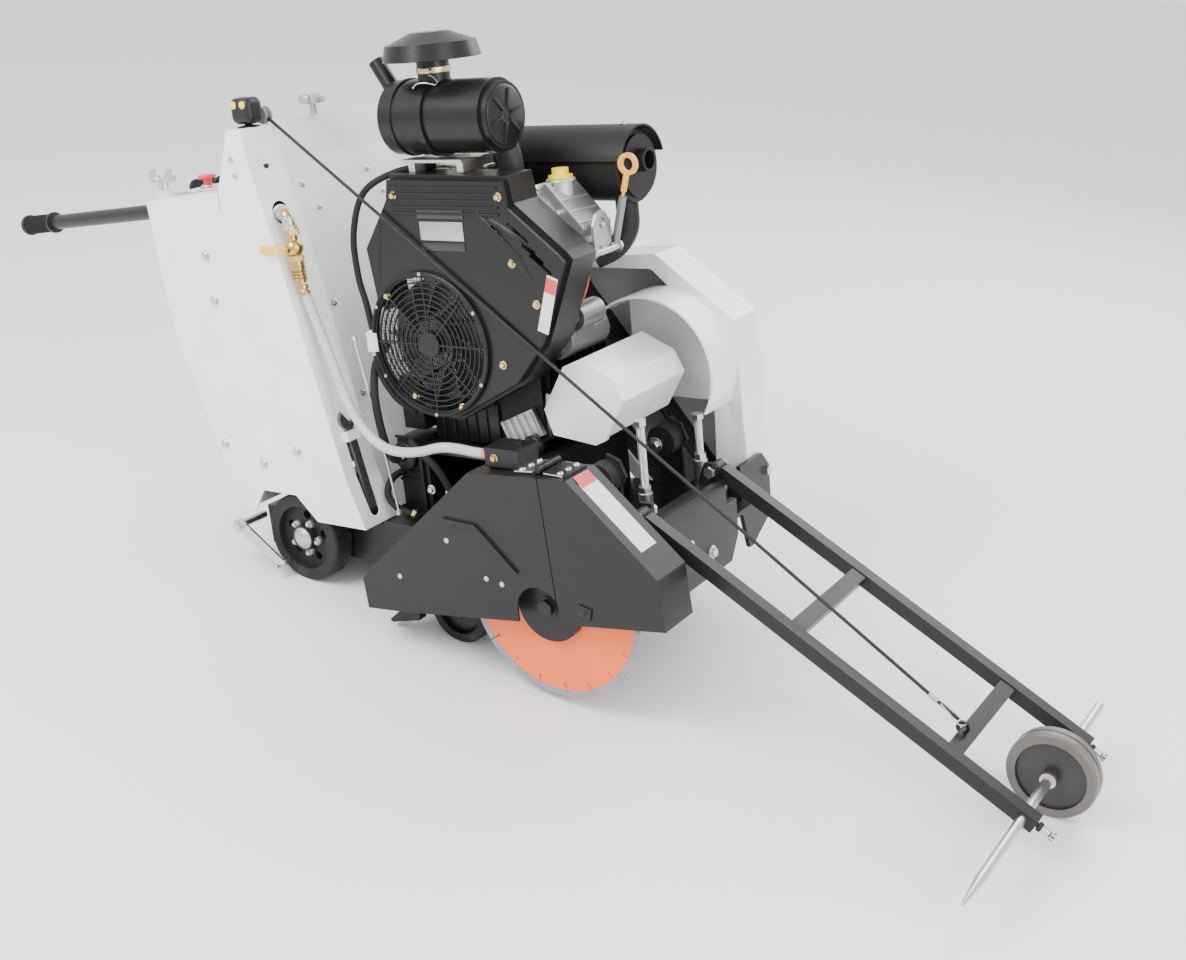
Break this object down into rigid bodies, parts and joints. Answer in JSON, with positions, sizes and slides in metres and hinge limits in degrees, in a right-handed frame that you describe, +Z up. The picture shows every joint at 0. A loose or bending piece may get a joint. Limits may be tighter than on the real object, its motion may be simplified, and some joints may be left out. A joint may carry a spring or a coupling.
{
  "type": "walk-behind concrete saw",
  "caption": "Self-propelled walk-behind concrete saw with a petrol engine, guarded diamond blade, water feed, folding pointer frame, handlebars and a control cowl.",
  "frame": {"origin": "centre of the bounding box in plan, on the floor under the wheels", "axes": "+X forward along the cut, +Y to the operator's left, +Z up"},
  "size_m": [2.691, 0.882, 1.2379],
  "materials": {
    "black_steel": "satin",
    "white_panel": "semi-gloss",
    "console": "satin",
    "zinc": "satin",
    "tank_plastic": "matte",
    "tyre": "matte",
    "cylinder_paint": "gloss",
    "blade_orange": "satin",
    "shaft_steel": "dark",
    "belt_rubber": "matte",
    "engine_black": "satin",
    "muffler_black": "heat-proof matt",
    "cast_aluminium": "cast",
    "yellow_plastic": "gloss",
    "dipstick_orange": "gloss",
    "dark_plastic": "satin",
    "starter_steel": "satin",
    "handle_black": "satin",
    "stop_red": "gloss",
    "brass": "satin",
    "valve_yellow": "gloss",
    "hose": "satin",
    "rope": "matte"
  },
  "bodies": {
    "chassis": {"air_cleaner_body": "engine_black", "air_cleaner_cover": "engine_black", "ball_valve": "brass", "belt_guard_outer": "white_panel", "blade_guard_rear": "black_steel", "blower_housing": "engine_black", "chassis_frame": "black_steel", "cleaner_bracket": "zinc", "console_panel": "console", "cowl_body": "white_panel", "crankcase": "cast_aluminium", "cylinders": "cast_aluminium", "dipstick_tube": "starter_steel", "drive_belts": "belt_rubber", "drum_guard": "white_panel", "duct_cover": "white_panel", "engine_base": "black_steel", "fan_grille": "engine_black", "fuel_tank": "tank_plastic", "intake_elbow": "belt_rubber", "jack_bolts": "zinc", "muffler": "muffler_black", "panel_bolts": "zinc", "pivot_mounts": "black_steel", "rain_cap": "engine_black", "rope_cleat": "dark_plastic", "starter_motor": "starter_steel", "valve_covers": "cast_aluminium", "water_hose": "hose", "water_manifold": "black_steel"},
    "rear_wheel_r": {"rear_wheel_right": "tyre"},
    "rear_wheel_l": {"rear_wheel_left": "tyre"},
    "carriage": {"front_carriage": "black_steel"},
    "front_wheel_r": {"front_wheel_right": "tyre"},
    "front_wheel_l": {"front_wheel_left": "tyre"},
    "lift_barrel": {"lift_cylinder": "cylinder_paint"},
    "lift_stem": {"lift_rod": "zinc"},
    "brake_arm": {"brake_lever": "zinc"},
    "arbor": {"blade": "blade_orange", "blade_shaft": "shaft_steel", "blade_flange": "shaft_steel"},
    "crank": {"crankshaft": "shaft_steel"},
    "guard_flap": {"blade_guard_front": "black_steel"},
    "filler_cap": {"oil_cap": "yellow_plastic"},
    "dip_stick": {"dipstick": "dipstick_orange"},
    "drive_lever": {"speed_lever": "dark_plastic"},
    "forward_button": {"button_forward": "yellow_plastic"},
    "reverse_button": {"button_reverse": "yellow_plastic"},
    "knob_r": {"wing_knob_right": "zinc"},
    "knob_l": {"wing_knob_left": "zinc"},
    "handle_r": {"handlebar_right": "handle_black"},
    "handle_l": {"handlebar_left": "handle_black"},
    "top_knob": {"tee_knob": "cast_aluminium"},
    "stop": {"stop_button": "stop_red"},
    "water_lever": {"valve_lever": "valve_yellow"},
    "wrench": {"blade_wrench": "zinc"},
    "pointer": {"pointer_frame": "black_steel", "pointer_rope": "rope"},
    "guide_rod": {"pointer_rod": "zinc"},
    "guide_wheel": {"pointer_wheel": "tyre"}
  },
  "joints": [
    {"name": "rear_wheel_r_spin", "type": "hinge", "parent": "chassis", "child": "rear_wheel_r", "pos_m": [-0.42686, -0.147, 0.1041], "axis": [0, 1, 0], "continuous": true},
    {"name": "rear_wheel_l_spin", "type": "hinge", "parent": "chassis", "child": "rear_wheel_l", "pos_m": [-0.42686, 0.395, 0.1041], "axis": [0, 1, 0], "continuous": true},
    {"name": "carriage_lift", "type": "hinge", "parent": "chassis", "child": "carriage", "pos_m": [-0.19907, 0.124, 0.13633], "axis": [0, -1, 0], "range_deg": [0, 24]},
    {"name": "front_wheel_r_spin", "type": "hinge", "parent": "carriage", "child": "front_wheel_r", "pos_m": [0.02648, -0.154, 0.077], "axis": [0, 1, 0], "continuous": true},
    {"name": "front_wheel_l_spin", "type": "hinge", "parent": "carriage", "child": "front_wheel_l", "pos_m": [0.02648, 0.402, 0.077], "axis": [0, 1, 0], "continuous": true},
    {"name": "lift_barrel_pivot", "type": "hinge", "parent": "chassis", "child": "lift_barrel", "pos_m": [0.4101, 0.124, 0.16009], "axis": [0, -1, 0], "range_deg": [-20, 0]},
    {"name": "lift_stem_slide", "type": "slide", "parent": "lift_barrel", "child": "lift_stem", "axis": [-0.9723, 0, -0.2335], "range_m": [-0.0057, 0]},
    {"name": "brake_arm_pivot", "type": "hinge", "parent": "chassis", "child": "brake_arm", "pos_m": [-0.59769, -0.176, 0.09538], "axis": [0, -1, 0], "range_deg": [-20, 35]},
    {"name": "arbor_spin", "type": "hinge", "parent": "chassis", "child": "arbor", "pos_m": [0.31409, -0.241, 0.22037], "axis": [0, 1, 0], "continuous": true},
    {"name": "crank_spin", "type": "hinge", "parent": "chassis", "child": "crank", "pos_m": [-0.12752, 0.124, 0.61519], "axis": [0, 1, 0], "continuous": true},
    {"name": "guard_flap_hinge", "type": "hinge", "parent": "chassis", "child": "guard_flap", "pos_m": [0.2868, -0.241, 0.51078], "axis": [0, -1, 0], "range_deg": [0, 85]},
    {"name": "oil_cap_turn", "type": "hinge", "parent": "chassis", "child": "filler_cap", "pos_m": [0.06913, 0.084, 0.97368], "axis": [-0.1616, 0, 0.9869], "range_deg": [0, 90]},
    {"name": "dipstick_pull", "type": "slide", "parent": "chassis", "child": "dip_stick", "axis": [0.1167, 0, 0.9932], "range_m": [0, 0.09]},
    {"name": "drive_lever_tilt", "type": "hinge", "parent": "chassis", "child": "drive_lever", "pos_m": [-0.57469, -0.141, 1.01924], "axis": [0, 1, 0], "range_deg": [-8, 8]},
    {"name": "forward_button_press", "type": "slide", "parent": "drive_lever", "child": "forward_button", "axis": [0, 1, 0], "range_m": [0, 0.003], "stiffness_N_per_m": 300},
    {"name": "reverse_button_press", "type": "slide", "parent": "drive_lever", "child": "reverse_button", "axis": [0, 1, 0], "range_m": [0, 0.003], "stiffness_N_per_m": 300},
    {"name": "handle_r_extend", "type": "slide", "parent": "chassis", "child": "handle_r", "axis": [-0.9694, 0, -0.2453], "range_m": [-0.12, 0.08]},
    {"name": "handle_l_extend", "type": "slide", "parent": "chassis", "child": "handle_l", "axis": [-0.9694, 0, -0.2453], "range_m": [-0.12, 0.08]},
    {"name": "knob_r_turn", "type": "hinge", "parent": "chassis", "child": "knob_r", "pos_m": [-0.84484, -0.144, 0.83111], "axis": [-0.1616, 0, 0.9869], "range_deg": [0, 180]},
    {"name": "knob_l_turn", "type": "hinge", "parent": "chassis", "child": "knob_l", "pos_m": [-0.84484, 0.392, 0.83111], "axis": [-0.1616, 0, 0.9869], "range_deg": [0, 180]},
    {"name": "top_knob_turn", "type": "hinge", "parent": "chassis", "child": "top_knob", "pos_m": [-0.57302, 0.052, 1.02762], "axis": [-0.1616, 0, 0.9869], "range_deg": [0, 90]},
    {"name": "stop_press", "type": "slide", "parent": "chassis", "child": "stop", "axis": [0.1616, 0, -0.9869], "range_m": [0, 0.006], "stiffness_N_per_m": 800},
    {"name": "water_lever_turn", "type": "hinge", "parent": "chassis", "child": "water_lever", "pos_m": [-0.43497, -0.194, 0.77865], "axis": [0, 1, 0], "range_deg": [0, 90]},
    {"name": "wrench_pull", "type": "slide", "parent": "chassis", "child": "wrench", "axis": [-0.3563, 0, 0.9344], "range_m": [0, 0.2]},
    {"name": "pointer_fold", "type": "hinge", "parent": "chassis", "child": "pointer", "pos_m": [0.44518, 0.004, 0.41613], "axis": [0, -1, 0], "range_deg": [0, 115], "deforming": ["pointer_rope"]},
    {"name": "guide_rod_slide", "type": "slide", "parent": "pointer", "child": "guide_rod", "axis": [0, 1, 0], "range_m": [-0.03, 0.03]},
    {"name": "guide_wheel_spin", "type": "hinge", "parent": "guide_rod", "child": "guide_wheel", "pos_m": [1.26053, 0.014, 0.08505], "axis": [0, 1, 0], "continuous": true}
  ],
  "couplings": [
    {"joint": "arbor_spin", "follows": "crank_spin", "ratio": 1.3},
    {"joint": "lift_barrel_pivot", "follows": "carriage_lift", "ratio": -0.83333},
    {"joint": "lift_stem_slide", "follows": "carriage_lift", "m_per_rad": -0.01361}
  ]
}
